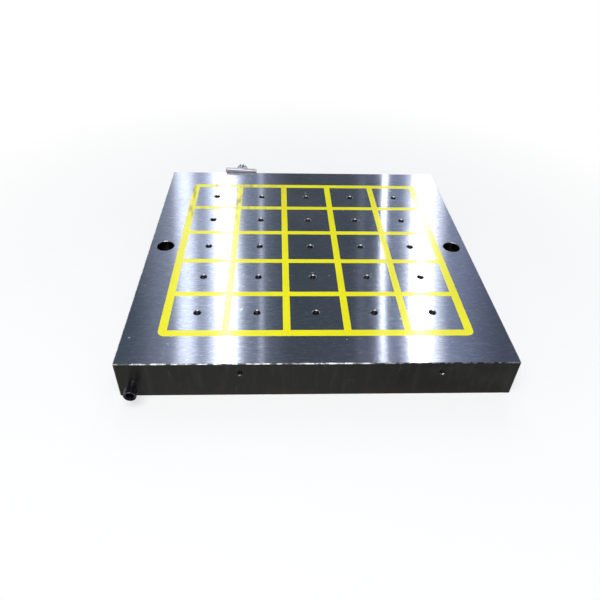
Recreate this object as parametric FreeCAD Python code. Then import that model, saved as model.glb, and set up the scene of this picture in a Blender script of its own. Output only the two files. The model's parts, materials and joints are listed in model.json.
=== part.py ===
"""Electro-permanent magnetic chuck: a one-piece steel body with a grid of square steel poles set in cast resin.

Frame: +Z up, origin at the centre of the body's underside, front face towards -Y. Millimetres and degrees.
Under each pole stand a switchable AlNiCo block and its coil, and rare-earth magnets fill the gaps between the
poles. A round connector with a turning collar leaves the front face. A swivelling work stop, clamped by a
thumb screw, stands at the back face.
"""
import FreeCAD, Part
import math
import os

Vec = FreeCAD.Vector

# ---------------------------------------------------------------- body
body_width = 358.0          # along X
body_depth = 364.0          # along Y
body_height = 41.0
edge_chamfer = 0.8          # broken edges of the ground block
yoke_thickness = 12.0       # steel left under the cavity
cavity_corner_radius = 7.0

# ---------------------------------------------------------------- pole grid
pole_columns = 5
pole_rows = 5
pole_side = 50.0
pole_gap = 7.0              # resin line between two poles
frame_gap = 8.0             # resin line between the outer poles and the body
pole_thread_radius = 3.4    # M8 tapping hole for a pole extension
pole_thread_depth = 10.0
pole_thread_chamfer = 0.7

# ---------------------------------------------------------------- switchable magnet and coil under a pole
alnico_side = 38.0
alnico_height = 9.0
alnico_corner = 5.0
coil_fit = 0.5              # all round, between the AlNiCo block and its coil
coil_side = 49.0
coil_corner = 9.0
coil_height = 8.0
link_wire_radius = 0.8      # wire from one coil to the next

# ---------------------------------------------------------------- rare-earth magnets in the gaps
gap_magnet_length = 44.0
gap_magnet_height = 12.0
gap_magnet_lift = 1.0       # above the foot of the poles

# ---------------------------------------------------------------- M6 screws that hold the poles from below
pole_screw_radius = 3.0
pole_screw_head_radius = 5.0
pole_screw_head_height = 6.0
pole_screw_grip = 6.0       # thread length in the pole
screw_hole_fit = 0.2        # radial, where the screw passes through
thread_fit = 0.05           # radial, where a thread engages
thread_end_room = 0.3       # past the end of a screw in its thread
head_fit = 0.5              # radial, head in its counterbore
seal_plug_depth = 1.8       # resin over the screw heads
seal_plug_recess = 0.2

# ---------------------------------------------------------------- bolting the chuck down: M12, counterbored
table_bolt_x = 162.0        # each side of the centre
table_bolt_radius = 6.75
counterbore_radius = 9.5
counterbore_depth = 13.0
counterbore_chamfer = 0.5

# ---------------------------------------------------------------- M6 tapped holes in the front and back faces
side_thread_radius = 2.5
side_thread_depth = 14.0
side_thread_chamfer = 0.5
side_thread_below_top = 12.0
front_thread_left = -70.0
front_thread_right = 110.0
stop_thread_x = 87.5        # each side of the centre, back face

# ---------------------------------------------------------------- connector on the front face
connector_from_left = 14.0
connector_axis_height = 16.6
shell_thread_radius = 4.0
shell_thread_length = 14.0
barrel_radius = 4.5
shell_reach = 14.0          # from the front face to the mouth
lip_radius = 4.9
lip_width = 1.1
mouth_radius = 3.7
mouth_depth = 11.0
wire_bore_radius = 2.4
ferrule_length = 7.2
ferrule_foot_radius = 4.5
ferrule_head_radius = 5.0
ferrule_bead_width = 1.6
ferrule_groove = 0.5        # width of the groove beside the bead
ferrule_groove_wall = 0.2   # left under the groove
collar_radius = 5.7
collar_wall_rear = 1.1
collar_overhang = 1.2       # past the mouth of the shell
collar_chamfer = 0.5
collar_groove_count = 24
collar_groove_depth = 0.35
running_fit = 0.06          # radial, collar on barrel
axial_fit = 0.2
insulator_thickness = 3.5
pin_radius = 0.5
pin_circle_radius = 1.9
pin_count = 4
pin_reach = 3.4             # in front of the insulator
pin_fit = 0.02

# ---------------------------------------------------------------- wiring duct and harness
inlet_duct_radius = 3.0     # behind the connector
cross_duct_radius = 3.4     # drilled from the left side
duct_corner_room = 0.5      # between the cross duct and the cavity's rounded corner
duct_plug_radius = 5.0
duct_plug_length = 8.0
harness_radius = 2.0
harness_bend = 5.0
duct_fit = 0.5              # resin clear of the harness and the link wires
harness_end_fit = 0.3       # from the end of the bundle to the insulator
splice_depth = 0.2          # a row's first wire starts this deep in the bundle

# ---------------------------------------------------------------- swivelling work stop on the back face
stop_width = 42.0
stop_thickness = 6.0
stop_above_axis = 16.0      # from the screw's axis to the upper edge
stop_below_axis = 12.0
stop_corner_radius = 1.5
stop_edge_chamfer = 0.4
stop_tilt = 3.2             # degrees, as clamped
stop_travel_down = 6.0
stop_travel_up = 2.0
sleeve_radius = 4.0
sleeve_slot_fit = 0.08
sleeve_end_fit = 0.1
washer_radius = 8.0
washer_thickness = 1.5
screw_shank_radius = 3.0
screw_thread_length = 12.0  # in the back face
shank_fit = 0.06
screw_collar_radius = 5.5
screw_collar_length = 2.5
knob_radius = 8.0
knob_length = 26.0
knob_chamfer = 1.0
knob_rim_width = 5.0        # plain rim at the free end
knob_neck_depth = 1.0       # groove between the knurl and the rim
knob_neck_width = 1.5
knob_groove_count = 20
knob_groove_depth = 0.6
knob_dimple_radius = 5.0
knob_dimple_depth = 1.0

# ---------------------------------------------------------------- places worked out from the sizes
pitch = pole_side + pole_gap
grid_half_x = (pole_columns * pitch - pole_gap) / 2 + frame_gap
grid_half_y = (pole_rows * pitch - pole_gap) / 2 + frame_gap
pole_foot = yoke_thickness + alnico_height
pole_x = [(column - (pole_columns - 1) / 2) * pitch for column in range(pole_columns)]
pole_y = [((pole_rows - 1) / 2 - row) * pitch for row in range(pole_rows)]    # row 1 is at the back
counterbore_level = body_height - counterbore_depth
screw_head_level = seal_plug_recess + seal_plug_depth
screw_seat_level = screw_head_level + pole_screw_head_height
wire_level = connector_axis_height
front_y = -body_depth / 2
back_y = body_depth / 2
connector_x = -body_width / 2 + connector_from_left
cross_duct_y = -grid_half_y + cavity_corner_radius + cross_duct_radius + duct_corner_room
trunk_x = -(grid_half_x + pole_x[-1] + coil_side / 2) / 2    # midway between the cavity wall and the coils
side_thread_level = body_height - side_thread_below_top
stop_axis = Vec(-stop_thread_x, back_y, side_thread_level)


# ---------------------------------------------------------------- building blocks
def box(low, high):
    """A block from its lowest to its highest corner."""
    size = [b - a for a, b in zip(low, high)]
    return Part.makeBox(*size, Vec(*low))


def centred_block(x, y, side_x, side_y, bottom, top):
    return box((x - side_x / 2, y - side_y / 2, bottom), (x + side_x / 2, y + side_y / 2, top))


def upright_edges(shape):
    """The straight edges of a block that run along Z."""
    return [e for e in shape.Edges if abs(e.tangentAt(e.FirstParameter).z) > 0.999]


def rod(radius, start, end):
    """A cylinder between two points."""
    along = end - start
    return Part.makeCylinder(radius, along.Length, start, along)


def countersink(radius, chamfer, mouth, inward):
    """The cone that breaks the edge of a hole."""
    return Part.makeCone(radius + chamfer, radius, chamfer, mouth, inward)


def blind_thread(radius, depth, chamfer, mouth, inward):
    """A tapping hole with its drill point and a broken edge."""
    end = mouth + inward * depth
    point = Part.makeCone(radius, 0, radius / math.tan(math.radians(59)), end, inward)
    return rod(radius, mouth, end).multiFuse([point, countersink(radius, chamfer, mouth, inward)])


def turned(profile, origin, axis):
    """A solid of revolution. The profile is a closed list of (distance along the axis, radius)."""
    points = [Vec(r, 0, along) for along, r in profile]
    face = Part.Face(Part.makePolygon(points + points[:1]))
    solid = face.revolve(Vec(0, 0, 0), Vec(0, 0, 1), 360)
    solid.Placement = FreeCAD.Placement(origin, FreeCAD.Rotation(Vec(0, 0, 1), axis))
    return solid


def flute_ring(count, radius, depth, start, end, origin, axis):
    """V-shaped cutters spread round an axis, for a straight knurl."""
    half = depth * 1.1
    corners = [Vec(radius - depth, 0, start), Vec(radius + depth, half * 2, start), Vec(radius + depth, -half * 2, start)]
    cutter = Part.Face(Part.makePolygon(corners + corners[:1])).extrude(Vec(0, 0, end - start))
    cutters = []
    for index in range(count):
        one = cutter.copy()
        one.rotate(Vec(0, 0, 0), Vec(0, 0, 1), 360 * index / count)
        one.Placement = FreeCAD.Placement(origin, FreeCAD.Rotation(Vec(0, 0, 1), axis)).multiply(one.Placement)
        cutters.append(one)
    return cutters


def chamfered_square(x, y, side, corner, bottom, top):
    """An upright square prism with its four corners cut off."""
    half = side / 2
    near = half - corner
    outline = [(half, near), (near, half), (-near, half), (-half, near),
               (-half, -near), (-near, -half), (near, -half), (half, -near)]
    points = [Vec(x + dx, y + dy, bottom) for dx, dy in outline]
    return Part.Face(Part.makePolygon(points + points[:1])).extrude(Vec(0, 0, top - bottom))


def cavity_block(bottom, top):
    """The cavity's round-cornered outline between two heights."""
    block = centred_block(0, 0, 2 * grid_half_x, 2 * grid_half_y, bottom, top)
    return block.makeFillet(cavity_corner_radius, upright_edges(block))


def pole_places():
    """Row, column and centre of every pole."""
    return [(row + 1, column + 1, x, y) for row, y in enumerate(pole_y) for column, x in enumerate(pole_x)]


# ---------------------------------------------------------------- body
def table_bolt_hole(x):
    through = rod(table_bolt_radius, Vec(x, 0, 0), Vec(x, 0, body_height))
    head_room = rod(counterbore_radius, Vec(x, 0, counterbore_level), Vec(x, 0, body_height))
    mouth = countersink(counterbore_radius, counterbore_chamfer, Vec(x, 0, body_height), Vec(0, 0, -1))
    return through.multiFuse([head_room, mouth])


def pole_screw_hole(x, y):
    through = rod(pole_screw_radius + screw_hole_fit, Vec(x, y, 0), Vec(x, y, yoke_thickness))
    return through.fuse(rod(pole_screw_head_radius + head_fit, Vec(x, y, 0), Vec(x, y, screw_seat_level)))


def side_thread(x, face_y):
    inward = Vec(0, -math.copysign(1, face_y), 0)
    mouth = Vec(x, face_y, side_thread_level)
    return blind_thread(side_thread_radius, side_thread_depth, side_thread_chamfer, mouth, inward)


def wiring_ducts():
    """The connector's threaded seat, the duct behind it and the duct drilled across from the left side."""
    left_face = Vec(-body_width / 2, cross_duct_y, wire_level)
    seat = rod(shell_thread_radius + thread_fit, Vec(connector_x, front_y, wire_level),
               Vec(connector_x, front_y + shell_thread_length, wire_level))
    behind = rod(inlet_duct_radius, Vec(connector_x, front_y, wire_level), Vec(connector_x, cross_duct_y, wire_level))
    across = rod(cross_duct_radius, left_face, Vec(trunk_x, cross_duct_y, wire_level))
    plug_seat = rod(duct_plug_radius + thread_fit, left_face, left_face + Vec(duct_plug_length, 0, 0))
    return [seat, behind, across, plug_seat]


def chuck_body():
    block = centred_block(0, 0, body_width, body_depth, 0, body_height)
    block = block.makeChamfer(edge_chamfer, block.Edges)
    holes = [cavity_block(yoke_thickness, body_height)]
    holes += [table_bolt_hole(side * table_bolt_x) for side in (-1, 1)]
    holes += [pole_screw_hole(x, y) for _, _, x, y in pole_places()]
    holes += [side_thread(x, front_y) for x in (front_thread_left, front_thread_right)]
    holes += [side_thread(side * stop_thread_x, back_y) for side in (-1, 1)]
    return block.cut(holes + wiring_ducts())


# ---------------------------------------------------------------- poles and what lies round them
def pole_piece(x, y):
    block = centred_block(x, y, pole_side, pole_side, pole_foot, body_height)
    top = blind_thread(pole_thread_radius, pole_thread_depth, pole_thread_chamfer, Vec(x, y, body_height), Vec(0, 0, -1))
    foot = rod(pole_screw_radius + thread_fit, Vec(x, y, pole_foot), Vec(x, y, pole_foot + pole_screw_grip + thread_end_room))
    return block.cut([top, foot])


def alnico_block(x, y):
    block = chamfered_square(x, y, alnico_side, alnico_corner, yoke_thickness, pole_foot)
    return block.cut(rod(pole_screw_radius + screw_hole_fit, Vec(x, y, yoke_thickness), Vec(x, y, pole_foot)))


def coil(x, y):
    top = yoke_thickness + coil_height
    winding = chamfered_square(x, y, coil_side, coil_corner, yoke_thickness, top)
    core = chamfered_square(x, y, alnico_side + 2 * coil_fit, alnico_corner, yoke_thickness, top)
    return winding.cut(core)


def pole_screw(x, y):
    head = rod(pole_screw_head_radius, Vec(x, y, screw_head_level), Vec(x, y, screw_seat_level))
    shank = rod(pole_screw_radius, Vec(x, y, screw_seat_level), Vec(x, y, pole_foot + pole_screw_grip))
    return head.fuse(shank)


def seal_plug(x, y):
    return rod(pole_screw_head_radius + head_fit, Vec(x, y, seal_plug_recess), Vec(x, y, screw_head_level))


def gap_magnet(x, y, thick_x, thick_y):
    bottom = pole_foot + gap_magnet_lift
    return centred_block(x, y, thick_x, thick_y, bottom, bottom + gap_magnet_height)


def column_magnets(line):
    """The magnets that stand between two neighbouring columns of poles."""
    x = (pole_x[line - 1] + pole_x[line]) / 2
    return [gap_magnet(x, y, pole_gap, gap_magnet_length) for y in pole_y]


def row_magnets(line):
    """The magnets that stand between two neighbouring rows of poles."""
    y = (pole_y[line - 1] + pole_y[line]) / 2
    return [gap_magnet(x, y, gap_magnet_length, pole_gap) for x in pole_x]


def frame_magnets():
    """The magnets between the outer poles and the body."""
    reach_x = grid_half_x - frame_gap / 2
    reach_y = grid_half_y - frame_gap / 2
    sides = [gap_magnet(side * reach_x, y, frame_gap, gap_magnet_length) for side in (-1, 1) for y in pole_y]
    ends = [gap_magnet(x, side * reach_y, gap_magnet_length, frame_gap) for side in (-1, 1) for x in pole_x]
    return sides + ends


def all_gap_magnets():
    magnets = frame_magnets()
    for line in range(1, pole_columns):
        magnets += column_magnets(line)
    for line in range(1, pole_rows):
        magnets += row_magnets(line)
    return magnets


def resin_grid():
    """The cast resin that shows as lines on the working face, and runs down between the magnets' ends."""
    slab = cavity_block(pole_foot, body_height)
    poles = [centred_block(x, y, pole_side, pole_side, pole_foot, body_height) for _, _, x, y in pole_places()]
    return slab.cut(poles + all_gap_magnets())


# ---------------------------------------------------------------- wiring
def harness_trunk():
    """The bundle of coil leads, from the connector through both ducts and along the left wall of the cavity."""
    start = Vec(connector_x, front_y - shell_reach + mouth_depth + harness_end_fit, wire_level)
    corners = [start, Vec(connector_x, cross_duct_y, wire_level), Vec(trunk_x, cross_duct_y, wire_level),
               Vec(trunk_x, pole_y[0], wire_level)]
    edges = []
    here = corners[0]
    for before, corner, after in zip(corners, corners[1:], corners[2:]):
        back = (before - corner).normalize()
        ahead = (after - corner).normalize()
        first = corner + back * harness_bend
        last = corner + ahead * harness_bend
        middle = corner + (back + ahead) * harness_bend * (1 - math.sqrt(0.5))
        edges += [Part.LineSegment(here, first).toShape(), Part.Arc(first, middle, last).toShape()]
        here = last
    edges.append(Part.LineSegment(here, corners[-1]).toShape())
    ring = Part.Wire(Part.Circle(start, Vec(0, 1, 0), harness_radius).toShape())
    return Part.Wire(edges).makePipeShell([ring], True, False)


def link_ends(y):
    """Start and end of each wire in a row: from the trunk to the first coil, then from coil to coil."""
    first = pole_x[0] - coil_side / 2
    spans = [(trunk_x + harness_radius - splice_depth, first)]
    spans += [(a + coil_side / 2, b - coil_side / 2) for a, b in zip(pole_x, pole_x[1:])]
    return [(Vec(a, y, wire_level), Vec(b, y, wire_level)) for a, b in spans]


def lead_harness():
    links = [rod(link_wire_radius, a, b) for y in pole_y for a, b in link_ends(y)]
    stubs = links[::pole_columns]
    between = [wire for wire in links if wire not in stubs]
    return [harness_trunk().multiFuse(stubs)] + between


def lower_potting():
    """The resin round the coils, with room left for the harness and the link wires."""
    slab = cavity_block(yoke_thickness, pole_foot)
    room = duct_fit + harness_radius
    cuts = [centred_block(x, y, coil_side, coil_side, yoke_thickness, pole_foot) for _, _, x, y in pole_places()]
    cuts.append(box((trunk_x - room, -grid_half_y + cavity_corner_radius, wire_level - room),
                    (trunk_x + room, pole_y[0] + room, wire_level + room)))
    cuts.append(box((-grid_half_x, cross_duct_y - harness_bend, wire_level - room),
                    (trunk_x, cross_duct_y + 2 * harness_bend, wire_level + room)))
    slit = link_wire_radius + duct_fit
    for y in pole_y:
        cuts.append(box((trunk_x, y - slit, wire_level - slit), (pole_x[-1], y + slit, wire_level + slit)))
    return slab.cut(cuts)


def duct_plug():
    """The set screw that closes the duct drilled from the left side."""
    face = Vec(-body_width / 2 + edge_chamfer, cross_duct_y, wire_level)
    plug = rod(duct_plug_radius, face, face + Vec(duct_plug_length - edge_chamfer, 0, 0))
    socket = Part.Face(Part.makePolygon([face + Vec(0, math.cos(a), math.sin(a)) * duct_plug_radius / 2
                                         for a in [math.radians(60 * k) for k in range(7)]]))
    return plug.cut(socket.extrude(Vec(duct_plug_length / 2, 0, 0)))


# ---------------------------------------------------------------- connector
connector_face = Vec(connector_x, front_y, connector_axis_height)
outward = Vec(0, -1, 0)


def connector_shell():
    mouth_floor = shell_reach - mouth_depth
    lip_start = shell_reach - lip_width
    profile = [(-shell_thread_length, wire_bore_radius), (-shell_thread_length, shell_thread_radius),
               (ferrule_length, shell_thread_radius), (ferrule_length, barrel_radius),
               (lip_start, barrel_radius), (lip_start, lip_radius), (shell_reach, lip_radius),
               (shell_reach, mouth_radius), (mouth_floor, mouth_radius), (mouth_floor, wire_bore_radius)]
    return turned(profile, connector_face, outward)


def connector_ferrule():
    """The tapered sleeve between the front face and the collar."""
    bore = shell_thread_radius + thread_fit
    groove_end = ferrule_bead_width + ferrule_groove
    groove_radius = bore + ferrule_groove_wall
    profile = [(0, bore), (0, ferrule_foot_radius), (ferrule_bead_width, ferrule_foot_radius),
               (ferrule_bead_width, groove_radius), (groove_end, groove_radius), (groove_end, ferrule_foot_radius),
               (ferrule_length, ferrule_head_radius), (ferrule_length, bore)]
    return turned(profile, connector_face, outward)


def locking_collar():
    """The knurled collar that turns on the shell, held between the ferrule and the shell's lip."""
    start = ferrule_length + axial_fit
    end = shell_reach + collar_overhang
    step = shell_reach - lip_width - axial_fit
    bore = barrel_radius + running_fit
    front_bore = lip_radius + running_fit
    outer = collar_radius
    profile = [(start, bore), (start, outer - collar_chamfer), (start + collar_chamfer, outer),
               (end - collar_chamfer, outer), (end, outer - collar_chamfer), (end, front_bore),
               (step, front_bore), (step, bore)]
    collar = turned(profile, connector_face, outward)
    flutes = flute_ring(collar_groove_count, outer, collar_groove_depth, start + 2 * collar_chamfer,
                        end - 2 * collar_chamfer, connector_face, outward)
    return collar.cut(flutes)


def pin_places():
    angles = [math.radians(45 + 360 * k / pin_count) for k in range(pin_count)]
    return [Vec(math.cos(a), 0, math.sin(a)) * pin_circle_radius for a in angles]


def insulator():
    floor = connector_face + outward * (shell_reach - mouth_depth)
    front = floor + outward * insulator_thickness
    disc = rod(mouth_radius - thread_fit, floor, front)
    return disc.cut([rod(pin_radius + pin_fit, floor + p, front + p) for p in pin_places()])


def contact_pins():
    floor = connector_face + outward * (shell_reach - mouth_depth)
    reach = outward * (insulator_thickness + pin_reach)
    return [rod(pin_radius, floor + p, floor + p + reach) for p in pin_places()]


# ---------------------------------------------------------------- work stop
def along_y(distance):
    """A point on the stop's axis, so far behind the back face."""
    return stop_axis + Vec(0, distance, 0)


def stop_plate():
    """The plate with its slot, tilted about the screw's axis."""
    x, y, z = stop_axis
    plate = box((x - stop_width / 2, y, z - stop_below_axis), (x + stop_width / 2, y + stop_thickness, z + stop_above_axis))
    across = [e for e in plate.Edges if abs(e.tangentAt(e.FirstParameter).y) > 0.999]
    plate = plate.makeFillet(stop_corner_radius, across)
    rims = [e for e in plate.Edges if abs(e.BoundBox.YLength) < 0.001]
    plate = plate.makeChamfer(stop_edge_chamfer, rims)
    half = sleeve_radius + sleeve_slot_fit
    low = z - stop_travel_up
    high = z + stop_travel_down
    slot = box((x - half, y, low), (x + half, y + stop_thickness, high)).multiFuse(
        [rod(half, Vec(x, y, level), Vec(x, y + stop_thickness, level)) for level in (low, high)])
    plate = plate.cut(slot)
    plate.rotate(stop_axis, Vec(0, 1, 0), stop_tilt)
    return plate


def guide_sleeve():
    start, end = along_y(sleeve_end_fit), along_y(stop_thickness - sleeve_end_fit)
    return rod(sleeve_radius, start, end).cut(rod(screw_shank_radius + shank_fit, start, end))


def clamp_washer():
    start, end = along_y(stop_thickness), along_y(stop_thickness + washer_thickness)
    return rod(washer_radius, start, end).cut(rod(screw_shank_radius + shank_fit, start, end))


def thumb_screw():
    """Thread, shank, collar and a long knurled knob with a plain rim at its free end."""
    seat = stop_thickness + washer_thickness
    knob_start = seat + screw_collar_length
    end = knob_start + knob_length
    neck_end = end - knob_rim_width
    neck_start = neck_end - knob_neck_width
    thread = side_thread_radius - thread_fit
    profile = [(-screw_thread_length, 0), (-screw_thread_length, thread), (0, thread), (0, screw_shank_radius),
               (seat, screw_shank_radius), (seat, screw_collar_radius), (knob_start, screw_collar_radius),
               (knob_start, knob_radius - knob_chamfer), (knob_start + knob_chamfer, knob_radius),
               (neck_start, knob_radius), (neck_start, knob_radius - knob_neck_depth),
               (neck_end, knob_radius - knob_neck_depth), (neck_end, knob_radius),
               (end - knob_chamfer, knob_radius), (end, knob_radius - knob_chamfer),
               (end, knob_dimple_radius), (end - knob_dimple_depth, knob_dimple_radius - knob_dimple_depth),
               (end - knob_dimple_depth, 0)]
    screw = turned(profile, stop_axis, Vec(0, 1, 0))
    flutes = flute_ring(knob_groove_count, knob_radius, knob_groove_depth, knob_start + 2 * knob_chamfer,
                        neck_start, stop_axis, Vec(0, 1, 0))
    return screw.cut(flutes)


# ---------------------------------------------------------------- the whole chuck
def sub_parts():
    """Every node with its solids."""
    parts = {"chuck_body": [chuck_body()], "resin_grid": [resin_grid()], "lower_potting": [lower_potting()]}
    for row, column, x, y in pole_places():
        parts[f"pole_{row}_{column}"] = [pole_piece(x, y)]
    for row, y in enumerate(pole_y, start=1):
        parts[f"alnico_row_{row}"] = [alnico_block(x, y) for x in pole_x]
        parts[f"coil_row_{row}"] = [coil(x, y) for x in pole_x]
    for line in range(1, pole_columns):
        parts[f"column_magnets_{line}"] = column_magnets(line)
    for line in range(1, pole_rows):
        parts[f"row_magnets_{line}"] = row_magnets(line)
    parts["frame_magnets"] = frame_magnets()
    parts["pole_screws"] = [pole_screw(x, y) for _, _, x, y in pole_places()]
    parts["seal_plugs"] = [seal_plug(x, y) for _, _, x, y in pole_places()]
    parts["lead_harness"] = lead_harness()
    parts["duct_plug"] = [duct_plug()]
    parts["connector_shell"] = [connector_shell()]
    parts["connector_ferrule"] = [connector_ferrule()]
    parts["locking_collar"] = [locking_collar()]
    parts["insulator"] = [insulator()]
    parts["contact_pins"] = contact_pins()
    parts["stop_plate"] = [stop_plate()]
    parts["guide_sleeve"] = [guide_sleeve()]
    parts["clamp_washer"] = [clamp_washer()]
    parts["thumb_screw"] = [thumb_screw()]
    return parts


def main():
    os.makedirs("parts", exist_ok=True)
    for name, shapes in sub_parts().items():
        solids = [solid for shape in shapes for solid in shape.Solids]
        node = solids[0] if len(solids) == 1 else Part.makeCompound(solids)
        node.exportStep(f"parts/{name}.step")
        print(f"{name}: {len(solids)} solid(s), {sum(s.Volume for s in solids):.0f} mm3, valid {node.isValid()}")


main()
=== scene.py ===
import json
import math

import bpy
from mathutils import Matrix, Vector


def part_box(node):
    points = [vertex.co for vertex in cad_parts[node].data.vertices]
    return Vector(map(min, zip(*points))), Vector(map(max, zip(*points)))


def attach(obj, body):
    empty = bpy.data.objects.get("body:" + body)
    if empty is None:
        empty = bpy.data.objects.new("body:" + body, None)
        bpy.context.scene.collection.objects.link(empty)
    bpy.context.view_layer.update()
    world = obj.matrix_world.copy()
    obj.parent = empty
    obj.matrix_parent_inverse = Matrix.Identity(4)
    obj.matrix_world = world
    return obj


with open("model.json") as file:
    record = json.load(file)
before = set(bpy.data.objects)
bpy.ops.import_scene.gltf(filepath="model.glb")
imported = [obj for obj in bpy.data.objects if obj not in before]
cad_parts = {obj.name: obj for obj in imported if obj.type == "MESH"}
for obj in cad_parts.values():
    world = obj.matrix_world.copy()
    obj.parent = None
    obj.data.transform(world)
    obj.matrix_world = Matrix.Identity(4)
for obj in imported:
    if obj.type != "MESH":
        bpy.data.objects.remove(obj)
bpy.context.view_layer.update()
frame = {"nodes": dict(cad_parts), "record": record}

nodes = frame["nodes"]
record = frame["record"]
scene = bpy.context.scene
scene.view_settings.view_transform = "Standard"
mounts = {mount["name"]: mount for mount in record["mounts"]}
blockLow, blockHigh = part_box("chuck_body")
workLevel = blockHigh.z
mm = 0.001
print("frame loaded:", len(nodes), "nodes")


# Node helpers

def addNode(tree, kind, inputs=None, **settings):
    node = tree.nodes.new(kind)
    for name, value in settings.items():
        setattr(node, name, value)
    for socket, value in (inputs or {}).items():
        if isinstance(value, bpy.types.NodeSocket):
            tree.links.new(value, node.inputs[socket])
        else:
            node.inputs[socket].default_value = value
    return node


def calculate(tree, operation, first, second=0.0, clamp=False):
    node = addNode(tree, "ShaderNodeMath", {0: first, 1: second}, operation=operation, use_clamp=clamp)
    return node.outputs[0]


def remap(tree, value, low, high, newLow=0.0, newHigh=1.0):
    node = addNode(tree, "ShaderNodeMapRange", {"Value": value, "From Min": low, "From Max": high,
                                                "To Min": newLow, "To Max": newHigh}, clamp=True)
    return node.outputs[0]


def mixColour(tree, factor, first, second):
    node = addNode(tree, "ShaderNodeMix", data_type="RGBA")
    for socket, value in ((node.inputs[0], factor), (node.inputs[6], first), (node.inputs[7], second)):
        if isinstance(value, bpy.types.NodeSocket):
            tree.links.new(value, socket)
        else:
            socket.default_value = value if isinstance(value, float) else (*value, 1.0)
    return node.outputs[2]


def stretched(tree, vector, sizes):
    return addNode(tree, "ShaderNodeVectorMath", {0: vector, 1: sizes}, operation="DIVIDE").outputs[0]


def newGroup(name, inputs, outputs):
    group = bpy.data.node_groups.new(name, "ShaderNodeTree")
    for socketName, value in inputs.items():
        kind = "NodeSocketVector" if value is None else "NodeSocketFloat"
        socket = group.interface.new_socket(socketName, in_out="INPUT", socket_type=kind)
        if value is not None:
            socket.default_value = value
    for socketName in outputs:
        group.interface.new_socket(socketName, in_out="OUTPUT", socket_type="NodeSocketFloat")
    return group, group.nodes.new("NodeGroupInput").outputs, group.nodes.new("NodeGroupOutput").inputs


def useGroup(tree, group, vector, values):
    return addNode(tree, "ShaderNodeGroup", {"Vector": vector, **values}, node_tree=group).outputs


def joined(group, value, socket):
    group.links.new(value, socket)


# Effects that several materials share

def makeGrindLines():
    group, given, put = newGroup("grind lines", {"Vector": None, "Length": 0.05, "Pitch": 0.001},
                                 ("Tone", "Height"))
    fineLength = calculate(group, "MULTIPLY", given["Length"], 0.4)
    finePitch = calculate(group, "MULTIPLY", given["Pitch"], 0.3)
    coarseSize = addNode(group, "ShaderNodeCombineXYZ", {
        0: given["Length"], 1: given["Pitch"], 2: given["Pitch"]})
    fineSize = addNode(group, "ShaderNodeCombineXYZ", {0: fineLength, 1: finePitch, 2: finePitch})
    coarse = addNode(group, "ShaderNodeTexNoise", {
        "Vector": stretched(group, given["Vector"], coarseSize.outputs[0]), "Scale": 1.0, "Detail": 3.0})
    fine = addNode(group, "ShaderNodeTexNoise", {
        "Vector": stretched(group, given["Vector"], fineSize.outputs[0]), "Scale": 1.0, "Detail": 1.0})
    joined(group, remap(group, coarse.outputs[0], 0.3, 0.7), put["Tone"])
    both = calculate(group, "ADD", coarse.outputs[0], fine.outputs[0])
    joined(group, calculate(group, "MULTIPLY", both, 0.5), put["Height"])
    return group


markShape = {
    "cloudRoughness": 0.62,
    "speckLuck": 6.0,               # a higher power leaves fewer specks
    "speckFade": 0.08,
    "sweep": (0.05, 0.028, 0.05),
    "breakScale": 42.0,
    "scratchFade": 0.006,
    "scratchCore": 0.002,
    "breakStart": 0.56,
    "breakEnd": 0.62,
}


def makeHandlingMarks():
    inputs = {"Vector": None, "Cloud": 0.04, "Speck": 0.006, "Amount": 0.3}
    group, given, put = newGroup("handling marks", inputs, ("Cloud", "Speck", "Scratch"))
    cloudVector = addNode(group, "ShaderNodeVectorMath", {0: given["Vector"]}, operation="SCALE")
    joined(group, calculate(group, "DIVIDE", 1.0, given["Cloud"]), cloudVector.inputs["Scale"])
    cloud = addNode(group, "ShaderNodeTexNoise", {
        "Vector": cloudVector.outputs[0], "Scale": 1.0, "Detail": 4.0,
        "Roughness": markShape["cloudRoughness"]})
    joined(group, remap(group, cloud.outputs[0], 0.32, 0.68), put["Cloud"])
    speckVector = addNode(group, "ShaderNodeVectorMath", {0: given["Vector"]}, operation="SCALE")
    joined(group, calculate(group, "DIVIDE", 1.0, given["Speck"]), speckVector.inputs["Scale"])
    cells = addNode(group, "ShaderNodeTexVoronoi", {"Vector": speckVector.outputs[0], "Scale": 1.0})
    luck = addNode(group, "ShaderNodeSeparateColor", {0: cells.outputs["Color"]})
    lucky = calculate(group, "POWER", luck.outputs[0], markShape["speckLuck"])
    reach = calculate(group, "MULTIPLY", lucky, given["Amount"])
    inside = calculate(group, "SUBTRACT", reach, cells.outputs["Distance"])
    joined(group, remap(group, inside, 0.0, markShape["speckFade"]), put["Speck"])
    swept = addNode(group, "ShaderNodeTexNoise", {
        "Vector": stretched(group, given["Vector"], markShape["sweep"]), "Scale": 1.0, "Detail": 0.0})
    broken = addNode(group, "ShaderNodeTexNoise", {
        "Vector": given["Vector"], "Scale": markShape["breakScale"], "Detail": 2.0})
    away = calculate(group, "ABSOLUTE", calculate(group, "SUBTRACT", swept.outputs[0], 0.5))
    thin = remap(group, away, markShape["scratchFade"], markShape["scratchCore"])
    kept = remap(group, broken.outputs[0], markShape["breakStart"], markShape["breakEnd"])
    joined(group, calculate(group, "MULTIPLY", thin, kept), put["Scratch"])
    return group


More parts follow.
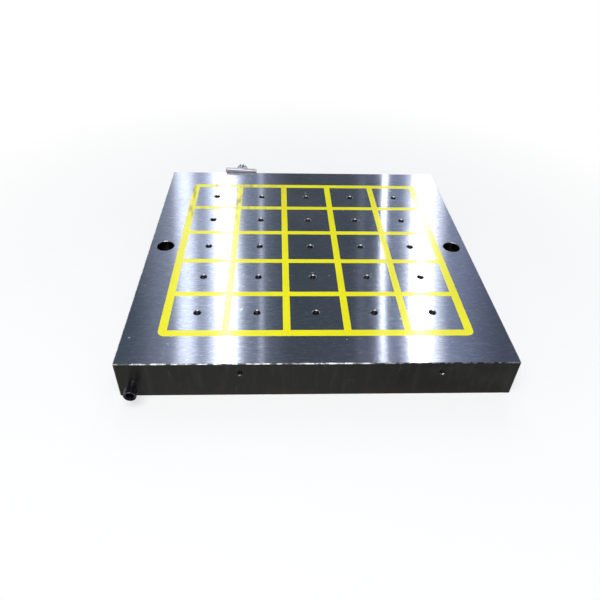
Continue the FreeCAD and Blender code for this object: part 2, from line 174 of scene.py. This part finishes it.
def makeCastGrain():
    group, given, put = newGroup("cast grain", {"Vector": None, "Grain": 0.0008}, ("Height", "Tone"))
    scaled = addNode(group, "ShaderNodeVectorMath", {0: given["Vector"]}, operation="SCALE")
    joined(group, calculate(group, "DIVIDE", 1.0, given["Grain"]), scaled.inputs["Scale"])
    grain = addNode(group, "ShaderNodeTexNoise", {"Vector": scaled.outputs[0], "Scale": 1.0, "Detail": 5.0})
    broad = addNode(group, "ShaderNodeTexNoise", {"Vector": scaled.outputs[0], "Scale": 0.08, "Detail": 3.0})
    joined(group, grain.outputs[0], put["Height"])
    joined(group, remap(group, broad.outputs[0], 0.3, 0.7), put["Tone"])
    return group


grindLines = makeGrindLines()
handlingMarks = makeHandlingMarks()
castGrain = makeCastGrain()


def startMaterial(name, **plain):
    material = bpy.data.materials.new(name)
    material.use_nodes = True
    tree = material.node_tree
    shader = tree.nodes["Principled BSDF"]
    for setting, value in plain.items():
        shader.inputs[setting.replace("_", " ")].default_value = value
    place = tree.nodes.new("ShaderNodeTexCoord")
    return material, tree, shader, place.outputs


def addBump(tree, shader, height, depth):
    bump = addNode(tree, "ShaderNodeBump", {"Height": height, "Distance": depth, "Strength": 1.0})
    joined(tree, bump.outputs[0], shader.inputs["Normal"])


def addBrushing(tree, shader, direction):    # gloss stretches along this, which lies across the lines
    across = addNode(tree, "ShaderNodeCombineXYZ", {0: direction[0], 1: direction[1], 2: direction[2]})
    joined(tree, across.outputs[0], shader.inputs["Tangent"])


# Ground steel of the block and the poles

grindAcross = (0.0, 0.8, 0.6)    # the lines run along X, and this is square to it

blockSteel = {
    "light": (0.48, 0.50, 0.54),
    "dark": (0.37, 0.395, 0.43),
    "tint": (0.40, 0.40, 0.49),
    "roughness": 0.115,
    "lineLength": 0.008,
    "linePitch": 0.0011,
    "lineDepth": 0.0000025,
    # The side colour is a painted dark reflection: the block's sides are made near-black to stand in for a
    # dark room, while the same steel is pale on top
    "side": (0.025, 0.0248, 0.0235),
    # The brown side colour is a painted reflection of a bench, laid in clouds towards the bottom of the sides
    "sideBenchReflection": (0.056, 0.037, 0.023),
    "sideRub": (0.040, 0.040, 0.037),
    "sideRoughness": 0.34,
    # The edge colour is a painted highlight along the top chamfer; noise breaks it into dashes with gaps of
    # the dark side colour
    "edge": (0.9, 0.9, 0.9),
    # The hole colour is painted shade: the walls inside the holes are made near-black for their depth
    "hole": (0.014, 0.014, 0.014),
    "sink": (0.45, 0.45, 0.46),
    "stain": (0.62, 0.65, 0.68),
    "mottle": (0.005, 0.0025, 0.003),
    "marks": {"Cloud": 0.06, "Speck": 0.009, "Amount": 0.22},
    "sideMarks": {"Cloud": 0.035, "Speck": 0.004, "Amount": 0.3},
    "sideScratch": (0.16, 0.16, 0.15),
    "runSize": (0.007, 0.007, 0.05),
    "benchReflectionReach": 0.45,              # share of the height
    "edgeWidth": 0.0010,
    "edgeFade": 0.0001,
    "highlightBreakScale": 150.0,
}


def makeGroundSteel(name, values, isBlock):
    material, tree, shader, given = startMaterial(name, Metallic=1.0, Anisotropic=1.0)
    place = given["Object"]
    addBrushing(tree, shader, grindAcross)
    lines = useGroup(tree, grindLines, place, {"Length": values["lineLength"], "Pitch": values["linePitch"]})
    marks = useGroup(tree, handlingMarks, place, values["marks"])
    steel = mixColour(tree, lines["Tone"], values["dark"], values["light"])
    steel = mixColour(tree, remap(tree, marks["Cloud"], 0.45, 1.0, 0.0, 0.6), steel, values["tint"])
    mottle = addNode(tree, "ShaderNodeTexNoise", {
        "Vector": stretched(tree, place, values["mottle"]), "Scale": 1.0, "Detail": 4.0, "Roughness": 0.75})
    steel = mixColour(tree, remap(tree, mottle.outputs[0], 0.53, 0.70, 0.0, 0.7), steel, values["stain"])
    steel = mixColour(tree, calculate(tree, "MULTIPLY", marks["Speck"], 0.5), steel, values["stain"])
    steel = mixColour(tree, calculate(tree, "MULTIPLY", marks["Scratch"], 0.55), steel, values["stain"])
    roughness = remap(tree, marks["Cloud"], 0.0, 1.0, values["roughness"] - 0.02, values["roughness"] + 0.03)
    roughness = calculate(tree, "ADD", roughness, calculate(tree, "MULTIPLY", marks["Speck"], 0.15))
    tilt = addNode(tree, "ShaderNodeSeparateXYZ", {0: given["Normal"]})
    spot = addNode(tree, "ShaderNodeSeparateXYZ", {0: place})
    flat = remap(tree, tilt.outputs[2], 0.9, 0.96)
    if isBlock:
        inX = calculate(tree, "SUBTRACT", blockHigh.x, calculate(tree, "ABSOLUTE", spot.outputs[0]))
        inY = calculate(tree, "SUBTRACT", blockHigh.y, calculate(tree, "ABSOLUTE", spot.outputs[1]))
        fromEdge = calculate(tree, "MINIMUM", inX, inY)
        outside = remap(tree, fromEdge, values["edgeWidth"] + values["edgeFade"], values["edgeWidth"])
        sloped = remap(tree, calculate(tree, "ABSOLUTE", tilt.outputs[2]), 0.35, 0.55)
        smudge = useGroup(tree, handlingMarks, place, values["sideMarks"])
        # Painted bench reflection: brown in clouds, strongest at the bottom of the sides and gone by 45% of
        # the height
        low = remap(tree, spot.outputs[2], workLevel * values["benchReflectionReach"], 0.0, 0.0, 0.8)
        benchReflection = calculate(tree, "MULTIPLY", remap(tree, smudge["Cloud"], 0.5, 1.0), low)
        # The sides start from the near-black painted dark reflection
        side = mixColour(tree, benchReflection, values["side"], values["sideBenchReflection"])
        run = addNode(tree, "ShaderNodeTexNoise", {
            "Vector": stretched(tree, place, values["runSize"]), "Scale": 1.0, "Detail": 4.0,
            "Roughness": 0.6})
        side = mixColour(tree, remap(tree, run.outputs[0], 0.5, 0.7, 0.0, 0.6), side, values["sideRub"])
        scratch = calculate(tree, "MULTIPLY", smudge["Scratch"], 0.12)
        side = mixColour(tree, scratch, side, values["sideScratch"])
        # Painted highlight on the chamfer, broken by noise into bright dashes and dark gaps
        highlightBreaks = addNode(tree, "ShaderNodeTexNoise", {
            "Vector": place, "Scale": values["highlightBreakScale"], "Detail": 5.0, "Roughness": 0.7})
        bright = remap(tree, highlightBreaks.outputs[0], 0.44, 0.62, 0.06, 0.85)
        edge = mixColour(tree, bright, values["side"], values["edge"])
        side = mixColour(tree, sloped, side, edge)
        # Hole walls get the painted shade, and the sloped countersinks get the plain steel of sink
        hole = mixColour(tree, sloped, values["hole"], values["sink"])
        rest = mixColour(tree, outside, hole, side)
        sideRoughness = remap(tree, smudge["Cloud"], 0.0, 1.0, values["sideRoughness"] - 0.05,
                              values["sideRoughness"] + 0.12)
    else:
        sloped = remap(tree, tilt.outputs[2], 0.35, 0.55)
        # The walls of the pole holes get the same painted shade
        rest = mixColour(tree, sloped, values["hole"], values["sink"])
        sideRoughness = values["sideRoughness"]
    joined(tree, mixColour(tree, flat, rest, steel), shader.inputs["Base Color"])
    blend = addNode(tree, "ShaderNodeMix", {0: flat, 2: sideRoughness, 3: roughness}, data_type="FLOAT")
    joined(tree, blend.outputs[0], shader.inputs["Roughness"])
    height = calculate(tree, "ADD", lines["Height"], calculate(tree, "MULTIPLY", marks["Scratch"], -0.6))
    addBump(tree, shader, height, values["lineDepth"])
    return material


poleSteel = dict(blockSteel)
poleSteel["dark"] = (0.36, 0.39, 0.42)
poleSteel["light"] = (0.46, 0.49, 0.53)
poleSteel["tint"] = (0.41, 0.42, 0.48)


# Resin

resinValues = {
    "colour": (0.90, 0.86, 0.012),
    "deep": (0.80, 0.74, 0.01),
    "smear": (0.28, 0.27, 0.03),
    "roughness": 0.15,
    "stretch": 0.9,
    "ior": 1.55,
    "marks": {"Cloud": 0.05, "Speck": 0.003, "Amount": 0.25},
    "lineLength": 0.03,
    "linePitch": 0.0012,
    "lineDepth": 0.000004,
    "smearSize": (0.007, 0.03, 0.01),
    "smearLeft": (-0.02, -0.09),    # the left rear corner is the dirty one
    "smearBack": (0.03, 0.10),
}


def makeResin(name, values):
    material, tree, shader, given = startMaterial(name, Anisotropic=values["stretch"], IOR=values["ior"])
    place = given["Object"]
    addBrushing(tree, shader, grindAcross)
    marks = useGroup(tree, handlingMarks, place, values["marks"])
    lines = useGroup(tree, grindLines, place, {"Length": values["lineLength"], "Pitch": values["linePitch"]})
    cloudy = remap(tree, marks["Cloud"], 0.2, 1.0, 0.0, 0.6)
    colour = mixColour(tree, cloudy, values["colour"], values["deep"])
    spot = addNode(tree, "ShaderNodeSeparateXYZ", {0: place})
    leftward = remap(tree, spot.outputs[0], *values["smearLeft"])
    backward = remap(tree, spot.outputs[1], *values["smearBack"])
    smear = addNode(tree, "ShaderNodeTexNoise", {
        "Vector": stretched(tree, place, values["smearSize"]), "Scale": 1.0, "Detail": 3.0})
    dirty = calculate(tree, "MULTIPLY", calculate(tree, "MULTIPLY", leftward, backward),
                      remap(tree, smear.outputs[0], 0.5, 0.66, 0.0, 0.8))
    colour = mixColour(tree, dirty, colour, values["smear"])
    colour = mixColour(tree, calculate(tree, "MULTIPLY", marks["Speck"], 0.4), colour, values["smear"])
    joined(tree, colour, shader.inputs["Base Color"])
    joined(tree, remap(tree, lines["Tone"], 0.0, 1.0, values["roughness"] - 0.03, values["roughness"] + 0.04),
           shader.inputs["Roughness"])
    addBump(tree, shader, lines["Height"], values["lineDepth"])
    return material


# Plated, turned and brushed metals

metalLook = {
    "marks": {"Cloud": 0.012, "Speck": 0.002, "Amount": 0.3},
    "lineLength": 0.02,
    "lineDepth": 0.000004,
}


def makeMetal(name, light, dark, roughness, across=(0.15, 0.98, 0.1), pitch=0.0004, anisotropy=0.6, axis=1):
    material, tree, shader, given = startMaterial(name, Metallic=1.0, Anisotropic=anisotropy)
    place = given["Object"]
    addBrushing(tree, shader, across)
    sizes = [metalLook["lineLength"]] * 3
    sizes[axis] = pitch
    turned = addNode(tree, "ShaderNodeTexNoise", {
        "Vector": stretched(tree, place, sizes), "Scale": 1.0, "Detail": 2.0})
    marks = useGroup(tree, handlingMarks, place, metalLook["marks"])
    tone = remap(tree, turned.outputs[0], 0.3, 0.7)
    colour = mixColour(tree, tone, dark, light)
    colour = mixColour(tree, remap(tree, marks["Cloud"], 0.4, 1.0, 0.0, 0.35), colour, dark)
    colour = mixColour(tree, calculate(tree, "MULTIPLY", marks["Speck"], 0.5), colour, light)
    joined(tree, colour, shader.inputs["Base Color"])
    joined(tree, remap(tree, marks["Cloud"], 0.0, 1.0, roughness - 0.03, roughness + 0.07),
           shader.inputs["Roughness"])
    addBump(tree, shader, turned.outputs[0], metalLook["lineDepth"])
    return material


# Cast and moulded stuff, and the coils

def makeCast(name, light, dark, roughness, grain, depth, metallic=0.0):
    material, tree, shader, given = startMaterial(name, Metallic=metallic)
    cast = useGroup(tree, castGrain, given["Object"], {"Grain": grain})
    joined(tree, mixColour(tree, cast["Tone"], dark, light), shader.inputs["Base Color"])
    joined(tree, remap(tree, cast["Height"], 0.3, 0.7, roughness - 0.06, roughness + 0.08),
           shader.inputs["Roughness"])
    addBump(tree, shader, cast["Height"], depth)
    return material


windingMarks = {"Cloud": 0.01, "Speck": 0.003, "Amount": 0.3}
wireDepth = 0.00005


def makeWinding(name, light, dark, wirePitch):
    material, tree, shader, given = startMaterial(name, Metallic=1.0)
    spot = addNode(tree, "ShaderNodeSeparateXYZ", {0: given["Object"]})
    # The colour follows each wire turn and is darker in the grooves between turns: painted shade
    turn = calculate(tree, "SINE", calculate(tree, "MULTIPLY", spot.outputs[2], 2 * math.pi / wirePitch))
    marks = useGroup(tree, handlingMarks, given["Object"], windingMarks)
    colour = mixColour(tree, remap(tree, turn, -1.0, 0.4), dark, light)
    colour = mixColour(tree, remap(tree, marks["Cloud"], 0.3, 1.0, 0.0, 0.4), colour, dark)
    joined(tree, colour, shader.inputs["Base Color"])
    joined(tree, remap(tree, marks["Cloud"], 0.0, 1.0, 0.25, 0.4), shader.inputs["Roughness"])
    addBump(tree, shader, turn, wireDepth)
    return material


finishes = {
    "ground_steel": makeGroundSteel("pole ground steel", poleSteel, False),
    "yellow_resin": makeResin("yellow resin", resinValues),
    "potting": makeCast("potting resin", (0.78, 0.70, 0.06), (0.6, 0.52, 0.04), 0.4, 0.002, 0.00006),
    "alnico": makeCast("cast magnet", (0.34, 0.33, 0.32), (0.2, 0.19, 0.18), 0.55, 0.001, 0.0001, 1.0),
    "copper_winding": makeWinding("enamelled copper", (0.72, 0.32, 0.12), (0.28, 0.1, 0.04), 0.0008),
    "plated_magnet": makeMetal("nickel plate", (0.66, 0.65, 0.62), (0.5, 0.49, 0.47), 0.2),
    "zinc_screw": makeMetal("zinc plate", (0.60, 0.61, 0.63), (0.4, 0.41, 0.43), 0.32),
    "lead_sheath": makeCast("lead sheath", (0.36, 0.06, 0.05), (0.22, 0.03, 0.03), 0.6, 0.0012, 0.00003),
    "black_anodised": makeMetal("black anodising", (0.10, 0.095, 0.11), (0.025, 0.024, 0.028), 0.33),
    "plated_brass": makeMetal("plated brass", (0.36, 0.35, 0.39), (0.12, 0.12, 0.13), 0.24),
    "black_plastic": makeCast("black plastic", (0.03, 0.03, 0.03), (0.015, 0.015, 0.015), 0.5, 0.0006,
                              0.00002),
    "gold_contact": makeMetal("gold plate", (0.85, 0.62, 0.24), (0.6, 0.42, 0.15), 0.2),
    "stop_steel": makeMetal("stop steel", (0.56, 0.55, 0.57), (0.36, 0.355, 0.375), 0.34,
                            (0.2, 0.2, 0.96), 0.0006, 0.5, axis=2),
    "bronze": makeMetal("turned bronze", (0.62, 0.42, 0.2), (0.4, 0.26, 0.12), 0.25),
    "polished_steel": makeMetal("polished steel", (0.72, 0.72, 0.74), (0.45, 0.45, 0.47), 0.14),
}
blockFinish = makeGroundSteel("block ground steel", blockSteel, True)
for part in record["subparts"]:
    surface = nodes[part["node"]]
    finish = blockFinish if part["node"] == "chuck_body" else finishes[part["material_slot"]]
    if surface.material_slots:
        surface.material_slots[0].material = finish
    else:
        surface.data.materials.append(finish)
print("finishes made:", len(finishes) + 1)


# Threads in the open holes, made by one tree of geometry nodes

poleThread = {"radius": 3.4 * mm, "pitch": 1.25 * mm, "turns": 7.2, "ridge": 0.42 * mm, "start": 0.9 * mm,
              "steps": 20}
sideThread = {"radius": 2.5 * mm, "pitch": 1.0 * mm, "turns": 12.0, "ridge": 0.34 * mm, "start": 0.7 * mm,
              "steps": 20}


def makeThreadTree():
    tree = bpy.data.node_groups.new("thread coils", "GeometryNodeTree")
    face = tree.interface
    face.new_socket("Places", in_out="INPUT", socket_type="NodeSocketGeometry")
    for name, kind in (("Radius", "Float"), ("Pitch", "Float"), ("Turns", "Float"), ("Ridge", "Float"),
                       ("Steps", "Int"), ("Turn", "Vector"), ("Finish", "Material")):
        face.new_socket(name, in_out="INPUT", socket_type="NodeSocket" + kind)
    face.new_socket("Threads", in_out="OUTPUT", socket_type="NodeSocketGeometry")
    given = tree.nodes.new("NodeGroupInput").outputs
    height = addNode(tree, "ShaderNodeMath", {0: given["Pitch"], 1: given["Turns"]}, operation="MULTIPLY")
    spiral = addNode(tree, "GeometryNodeCurveSpiral", {
        "Resolution": given["Steps"], "Rotations": given["Turns"], "Start Radius": given["Radius"],
        "End Radius": given["Radius"], "Height": height.outputs[0]})
    profile = addNode(tree, "GeometryNodeCurvePrimitiveCircle", {"Resolution": 4, "Radius": given["Ridge"]})
    swept = addNode(tree, "GeometryNodeCurveToMesh", {
        "Curve": spiral.outputs[0], "Profile Curve": profile.outputs[0], "Fill Caps": True})
    placed = addNode(tree, "GeometryNodeInstanceOnPoints", {
        "Points": given["Places"], "Instance": swept.outputs[0], "Rotation": given["Turn"]})
    real = addNode(tree, "GeometryNodeRealizeInstances", {"Geometry": placed.outputs[0]})
    coated = addNode(tree, "GeometryNodeSetMaterial", {
        "Geometry": real.outputs[0], "Material": given["Finish"]})
    tree.links.new(coated.outputs[0], tree.nodes.new("NodeGroupOutput").inputs["Threads"])
    return tree


threadTree = makeThreadTree()


def cutThreads(name, places, turn, values, finish):
    points = bpy.data.meshes.new(name + "Places")
    points.from_pydata([tuple(place) for place in places], [], [])
    holder = bpy.data.objects.new(name + "Holder", points)
    scene.collection.objects.link(holder)
    modifier = holder.modifiers.new("threads", "NODES")
    modifier.node_group = threadTree
    wanted = {"Radius": values["radius"], "Pitch": values["pitch"], "Turns": values["turns"],
              "Ridge": values["ridge"], "Steps": values["steps"], "Turn": turn, "Finish": finish}
    for item in threadTree.interface.items_tree:
        if item.in_out == "INPUT" and item.name in wanted:
            modifier[item.identifier] = wanted[item.name]
    bpy.context.view_layer.update()
    solved = holder.evaluated_get(bpy.context.evaluated_depsgraph_get())
    mesh = bpy.data.meshes.new_from_object(solved)
    holder.modifiers.remove(modifier)
    bpy.data.objects.remove(holder)
    piece = bpy.data.objects.new(name, mesh)
    scene.collection.objects.link(piece)
    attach(piece, "chuck")


# The threads are painted near-black, a painted shade for the inside of the holes
shadedThreadFinish = makeMetal("cut thread", (0.11, 0.11, 0.12), (0.03, 0.03, 0.032), 0.3)
polePlaces = []
for name in nodes:
    if name.startswith("pole_") and name != "pole_screws":
        low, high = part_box(name)
        depth = poleThread["start"] + poleThread["turns"] * poleThread["pitch"]
        polePlaces.append(Vector(((low.x + high.x) / 2, (low.y + high.y) / 2, high.z - depth)))
cutThreads("poleThreads", polePlaces, (0.0, 0.0, 0.0), poleThread, shadedThreadFinish)

frontMount = mounts["front_threads"]
frontPlace = Vector(frontMount["pos_m"])
halfSpan = frontMount["dims"]["spacing_x_mm"] * mm / 2
frontPlaces = [frontPlace + Vector((side * halfSpan, sideThread["start"], 0.0)) for side in (-1, 1)]
quarterTurn = math.pi / 2
cutThreads("frontThreads", frontPlaces, (-quarterTurn, 0.0, 0.0), sideThread, shadedThreadFinish)
stopLow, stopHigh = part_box("guide_sleeve")
sparePlace = Vector((-(stopLow.x + stopHigh.x) / 2, blockHigh.y - sideThread["start"], frontPlace.z))
cutThreads("spareThread", [sparePlace], (quarterTurn, 0.0, 0.0), sideThread, shadedThreadFinish)
print("threads cut:", len(polePlaces) + len(frontPlaces) + 1)


# Studio

cameraView = {
    "place": (-0.0381, -0.5058, 0.3803),
    "turn": -3.25,                  # degrees, as dip and lean are
    "dip": 39.52,
    "lean": 2.07,
    "lens": 32.2,                   # millimetres, as the sensor is
    "sensor": 36.0,
    "nearest": 0.01,
}


def setCamera(values):
    turn, dip, lean = (math.radians(values[key]) for key in ("turn", "dip", "lean"))
    ahead = Vector((-math.sin(turn) * math.cos(dip), math.cos(turn) * math.cos(dip), -math.sin(dip)))
    right = Vector((math.cos(turn), math.sin(turn), 0.0))
    up = right.cross(ahead)
    leaned = math.cos(lean) * right + math.sin(lean) * up
    upright = -math.sin(lean) * right + math.cos(lean) * up
    camera = bpy.data.objects.new("camera", bpy.data.cameras.new("camera"))
    camera.data.lens = values["lens"]
    camera.data.sensor_width = values["sensor"]
    camera.data.clip_start = values["nearest"]
    facing = Matrix((leaned, upright, -ahead)).transposed().to_4x4()
    camera.matrix_world = Matrix.Translation(values["place"]) @ facing
    scene.collection.objects.link(camera)
    scene.camera = camera


def addLamp(name, place, target, width, height, radiance):
    light = bpy.data.lights.new(name, "AREA")
    light.shape = "RECTANGLE"
    light.size = width
    light.size_y = height
    light.energy = radiance * math.pi * width * height
    lamp = bpy.data.objects.new(name, light)
    aimed = (target - place).to_track_quat("-Z", "Y").to_matrix().to_4x4()
    lamp.matrix_world = Matrix.Translation(place) @ aimed
    scene.collection.objects.link(lamp)
    return lamp


# Two far strip lamps: place across and width, both as a share of their distance, and brightness
stripLamps = {"broadStrip": (-0.094, 0.018, 12.0), "wideStrip": (0.266, 0.025, 12.0)}
stripPlace = {"distance": 40.0, "lift": 36.0, "spread": 30.0}    # lift and spread in degrees
keyLamp = {"distance": 1.7, "lift": 62.0, "across": -0.12, "size": 1.2, "radiance": 5.3}


def setLights():
    centre = Vector((0.0, 0.0, workLevel))
    lift = math.radians(stripPlace["lift"])
    away = stripPlace["distance"]
    upright = Vector((0.0, -math.sin(lift), math.cos(lift)))
    for name, (across, width, radiance) in stripLamps.items():
        outward = Vector((across, math.sqrt(1.0 - across ** 2 - math.sin(lift) ** 2), math.sin(lift)))
        place = centre + away * outward
        facing = (outward - outward.dot(upright) * upright).normalized()
        lamp = addLamp(name, place, centre, away * width, away * math.radians(stripPlace["spread"]), radiance)
        turned = Matrix((upright.cross(facing), upright, facing)).transposed().to_4x4()
        lamp.matrix_world = Matrix.Translation(place) @ turned
    lift = math.radians(keyLamp["lift"])
    place = centre + keyLamp["distance"] * Vector((keyLamp["across"], -math.cos(lift), math.sin(lift)))
    addLamp("keySoftbox", place, centre, keyLamp["size"], keyLamp["size"], keyLamp["radiance"])


# Soft strips of the studio's far wall: place across, half width, fade, brightness and share of blue
wallStrips = (
    (-0.164, 0.003, 0.022, 1.65, 0.2),
    (-0.148, 0.030, 0.090, 0.45, 0.6),
    (-0.094, 0.012, 0.027, 1.70, 0.1),
    (-0.088, 0.015, 0.110, 0.40, 0.8),
    (-0.028, 0.001, 0.004, 1.10, 0.3),
    (0.155, 0.002, 0.009, 0.15, 0.5),
    (0.195, 0.002, 0.004, 4.50, 0.2),
    (0.266, 0.013, 0.030, 1.70, 0.1),
    (0.272, 0.025, 0.105, 0.48, 0.9),
)


worldShades = {
    "left": (0.42, 0.43, 0.45),
    "right": (0.42, 0.42, 0.45),
    "stops": ((0.32, (0.12, 0.15, 0.20)), (0.5, (0.095, 0.118, 0.142)), (0.75, (0.13, 0.15, 0.205))),
    "span": 0.8,
    "stripTop": (0.85, 0.8),
    "paleLevel": (0.20, 0.30),      # below this the world is as pale as the floor
    "bluePull": (0.42, 0.34),       # what full blue takes from red and from green
}


def setWorld():
    world = bpy.data.worlds.new("studio")
    scene.world = world
    world.use_nodes = True
    tree = world.node_tree
    direction = addNode(tree, "ShaderNodeTexCoord")
    part = addNode(tree, "ShaderNodeSeparateXYZ", {0: direction.outputs["Generated"]})
    span = worldShades["span"]
    dim = addNode(tree, "ShaderNodeValToRGB", {0: remap(tree, part.outputs[0], -span, span)})
    ramp = dim.color_ramp
    ramp.elements[0].color = (*worldShades["left"], 1.0)
    ramp.elements[1].color = (*worldShades["right"], 1.0)
    for place, colour in worldShades["stops"]:
        stop = ramp.elements.new(place)
        stop.color = (*colour, 1.0)
    light = dim.outputs[0]
    ahead = calculate(tree, "MULTIPLY", remap(tree, part.outputs[1], 0.0, 0.2),
                      remap(tree, part.outputs[2], *worldShades["stripTop"]))
    lessRed, lessGreen = worldShades["bluePull"]
    for across, half, fade, level, blue in wallStrips:
        away = calculate(tree, "ABSOLUTE", calculate(tree, "SUBTRACT", part.outputs[0], across))
        strip = addNode(tree, "ShaderNodeMapRange", {
            "Value": away, "From Min": half + fade, "From Max": half, "To Max": level},
            interpolation_type="SMOOTHSTEP")
        colour = addNode(tree, "ShaderNodeVectorMath", {
            0: (1.0 - lessRed * blue, 1.0 - lessGreen * blue, 1.0),
            "Scale": calculate(tree, "MULTIPLY", strip.outputs[0], ahead)}, operation="SCALE")
        total = addNode(tree, "ShaderNodeVectorMath", {0: light, 1: colour.outputs[0]}, operation="ADD")
        light = total.outputs[0]
    pale = remap(tree, part.outputs[2], *worldShades["paleLevel"], 1.0, 0.0)
    joined(tree, mixColour(tree, pale, light, (1.0, 1.0, 1.0)), tree.nodes["Background"].inputs["Color"])


floorLook = {
    "reach": 12.0,
    "colour": (0.92, 0.92, 0.92),
    "roughness": 0.9,
    "near": 0.3,                    # up to here the shadow shows, and beyond far the floor is white
    "far": 0.6,
    "nearWhite": 0.62,
}


def layFloor():
    mesh = bpy.data.meshes.new("floor")
    reach = floorLook["reach"]
    corners = [(-reach, -reach, 0), (reach, -reach, 0), (reach, reach, 0), (-reach, reach, 0)]
    mesh.from_pydata(corners, [], [(0, 1, 2, 3)])
    floor = bpy.data.objects.new("floor", mesh)
    scene.collection.objects.link(floor)
    material, tree, shader, given = startMaterial("pale floor", Roughness=floorLook["roughness"])
    shader.inputs["Base Color"].default_value = (*floorLook["colour"], 1.0)
    white = addNode(tree, "ShaderNodeEmission", {"Color": (1.0, 1.0, 1.0, 1.0), "Strength": 1.0})
    path = addNode(tree, "ShaderNodeLightPath")
    seen = calculate(tree, "ADD", path.outputs["Is Camera Ray"], path.outputs["Is Glossy Ray"])
    seen = calculate(tree, "ADD", seen, path.outputs["Is Transmission Ray"], True)
    away = addNode(tree, "ShaderNodeVectorMath", {0: given["Object"]}, operation="LENGTH")
    share = remap(tree, away.outputs["Value"], floorLook["near"], floorLook["far"],
                  floorLook["nearWhite"], 1.0)
    mixed = addNode(tree, "ShaderNodeMixShader", {0: calculate(tree, "MULTIPLY", seen, share)})
    joined(tree, shader.outputs[0], mixed.inputs[1])
    joined(tree, white.outputs[0], mixed.inputs[2])
    joined(tree, mixed.outputs[0], tree.nodes["Material Output"].inputs["Surface"])
    mesh.materials.append(material)


setCamera(cameraView)
setLights()
setWorld()
layFloor()
print("studio set")
